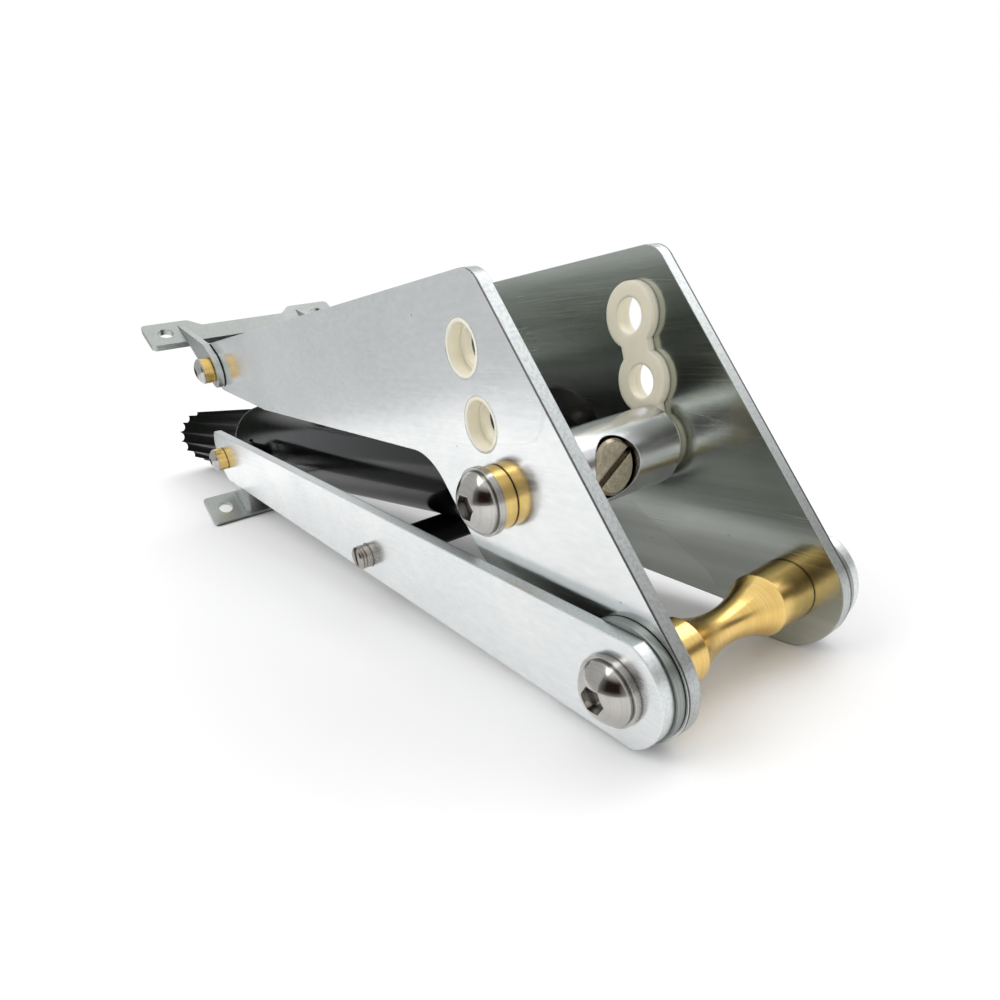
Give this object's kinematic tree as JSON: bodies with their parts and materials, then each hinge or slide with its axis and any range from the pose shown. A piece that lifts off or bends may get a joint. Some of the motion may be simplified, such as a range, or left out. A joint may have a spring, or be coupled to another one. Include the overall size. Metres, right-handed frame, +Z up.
{
  "type": "greenhouse vent opener",
  "caption": "Wax-driven greenhouse vent opener: fluted cylinder between folding aluminium arms and plates, brass spool, cross bar and swivelling screw-on brackets",
  "frame": {"origin": "on the ground plane, under the middle of the part's length, in the mid plane", "axes": "+X forward to the main pivot end, +Z up, +Y to the left side; the part stands closed as in the picture"},
  "size_m": [0.3498, 0.069, 0.0708],
  "materials": {
    "satin_aluminium": "satin mill finish sheet",
    "turned_aluminium": "fine turned",
    "bright_steel": "polished stainless",
    "satin_steel": "satin turned",
    "turned_brass": "turned and polished",
    "black_gloss": "gloss black anodised",
    "black_anodised": "satin black anodised",
    "nylon": "moulded natural nylon",
    "rubber": "moulded",
    "wax": "solid wax"
  },
  "bodies": {
    "arms": {"lower_arm_right": "satin_aluminium", "lower_arm_left": "satin_aluminium", "main_spool": "turned_brass", "main_screws": "bright_steel", "main_washers": "bright_steel", "main_spacers": "turned_aluminium", "cross_rod": "bright_steel", "cross_rod_tube": "turned_aluminium"},
    "plates": {"upper_plate_right": "satin_aluminium", "upper_plate_left": "satin_aluminium", "bush_strip_right": "nylon", "bush_strip_left": "nylon", "sash_pivot_screws": "bright_steel", "sash_pivot_collars": "turned_brass", "sash_pivot_nuts": "bright_steel"},
    "bar": {"cross_bar": "satin_steel", "cross_bar_screws": "bright_steel", "cross_bar_washers": "bright_steel", "cross_bar_collars": "turned_brass"},
    "adjuster": {"adjusting_screw": "satin_steel"},
    "cylinder": {"barrel": "black_gloss", "sealing_ring": "turned_aluminium", "reservoir": "black_anodised", "wax_charge": "wax", "gland": "black_anodised", "rod_seal": "rubber", "frame_pivot_screws": "bright_steel", "frame_pivot_collars": "turned_brass", "frame_pivot_tubes": "turned_aluminium"},
    "rod": {"piston_rod": "bright_steel", "piston": "turned_brass", "piston_seal": "rubber"},
    "sash_bracket_body": {"sash_bracket": "satin_aluminium"},
    "frame_bracket_body": {"frame_bracket": "satin_aluminium"}
  },
  "joints": [
    {"name": "plates_fold", "type": "hinge", "parent": "arms", "child": "plates", "pos_m": [0.1644, 0, 0.0105], "axis": [0, 1, 0], "range_deg": [0, 50]},
    {"name": "cross_bar_turn", "type": "hinge", "parent": "plates", "child": "bar", "pos_m": [0.13622, 0, 0.03399], "axis": [0, 1, 0], "range_deg": [-54.23, 0]},
    {"name": "adjuster_turn", "type": "hinge", "parent": "bar", "child": "adjuster", "pos_m": [0.13622, 0, 0.03399], "axis": [0.9984, 0, 0.0558], "continuous": true},
    {"name": "cylinder_tilt", "type": "hinge", "parent": "arms", "child": "cylinder", "pos_m": [-0.03109, 0, 0.02464], "axis": [0, 1, 0], "range_deg": [-4.22, 0]},
    {"name": "rod_slide", "type": "slide", "parent": "cylinder", "child": "rod", "axis": [0.9984, 0, 0.0558], "range_m": [0, 0.02834]},
    {"name": "sash_bracket_turn", "type": "hinge", "parent": "plates", "child": "sash_bracket_body", "pos_m": [-0.01689, 0, 0.05469], "axis": [0, 1, 0], "range_deg": [-40, 90]},
    {"name": "frame_bracket_turn", "type": "hinge", "parent": "arms", "child": "frame_bracket_body", "pos_m": [-0.03109, 0, 0.02464], "axis": [0, 1, 0], "range_deg": [-55, 0]}
  ],
  "couplings": [
    {"joint": "cross_bar_turn", "follows": "plates_fold", "ratio": -1.0845},
    {"joint": "cylinder_tilt", "follows": "plates_fold", "ratio": -0.0845},
    {"joint": "rod_slide", "follows": "plates_fold", "m_per_rad": 0.032475}
  ]
}
